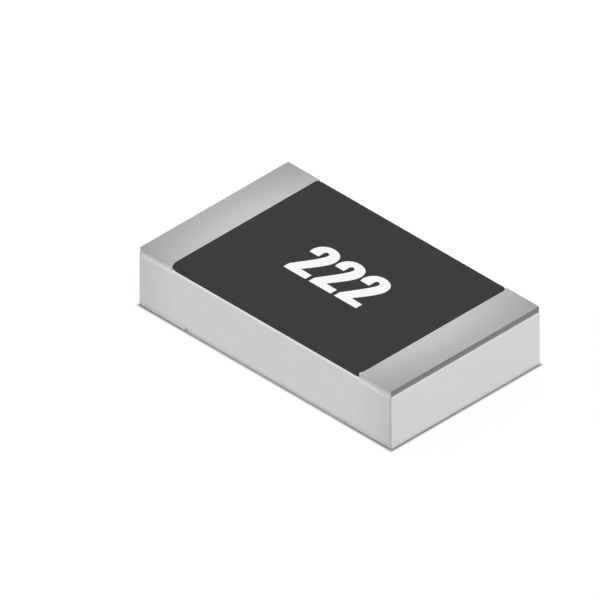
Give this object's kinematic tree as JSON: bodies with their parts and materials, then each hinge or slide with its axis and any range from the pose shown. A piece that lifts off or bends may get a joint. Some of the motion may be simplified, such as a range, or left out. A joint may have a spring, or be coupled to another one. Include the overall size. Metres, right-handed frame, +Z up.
{
  "type": "surface-mount chip resistor",
  "caption": "Flat rectangular ceramic chip with plated wrap-around metal terminals at both ends and a black coat over the resistive film, soldered flat to a circuit board.",
  "frame": {"origin": "middle of the footprint, on the plane that the undersides of the two terminals stand on", "axes": "+X along the length towards the right-hand terminal as the code is read, +Y across the width towards the tops of the digits, +Z up out of the coated face"},
  "size_m": [0.002, 0.0012, 0.0004],
  "materials": {
    "alumina_ceramic": "fired alumina, matte",
    "ruthenium_oxide_film": "fired thick film, matte",
    "overcoat_glass": "fired glass print, glossy",
    "black_resin": "cured resin print, satin",
    "silver_palladium_print": "fired metal print, matte",
    "sputtered_edge_metal": "thin metal film",
    "nickel_plate": "plated, satin",
    "matte_tin_plate": "plated, matte"
  },
  "bodies": {
    "root": {"ceramic_substrate": "alumina_ceramic", "resistive_film": "ruthenium_oxide_film", "glass_overcoat": "overcoat_glass", "protective_coat": "black_resin", "top_electrode_left": "silver_palladium_print", "top_electrode_right": "silver_palladium_print", "cover_electrode_left": "silver_palladium_print", "cover_electrode_right": "silver_palladium_print", "bottom_electrode_left": "silver_palladium_print", "bottom_electrode_right": "silver_palladium_print", "edge_electrode_left": "sputtered_edge_metal", "edge_electrode_right": "sputtered_edge_metal", "nickel_barrier_left": "nickel_plate", "nickel_barrier_right": "nickel_plate", "tin_plating_left": "matte_tin_plate", "tin_plating_right": "matte_tin_plate"}
  },
  "joints": []
}
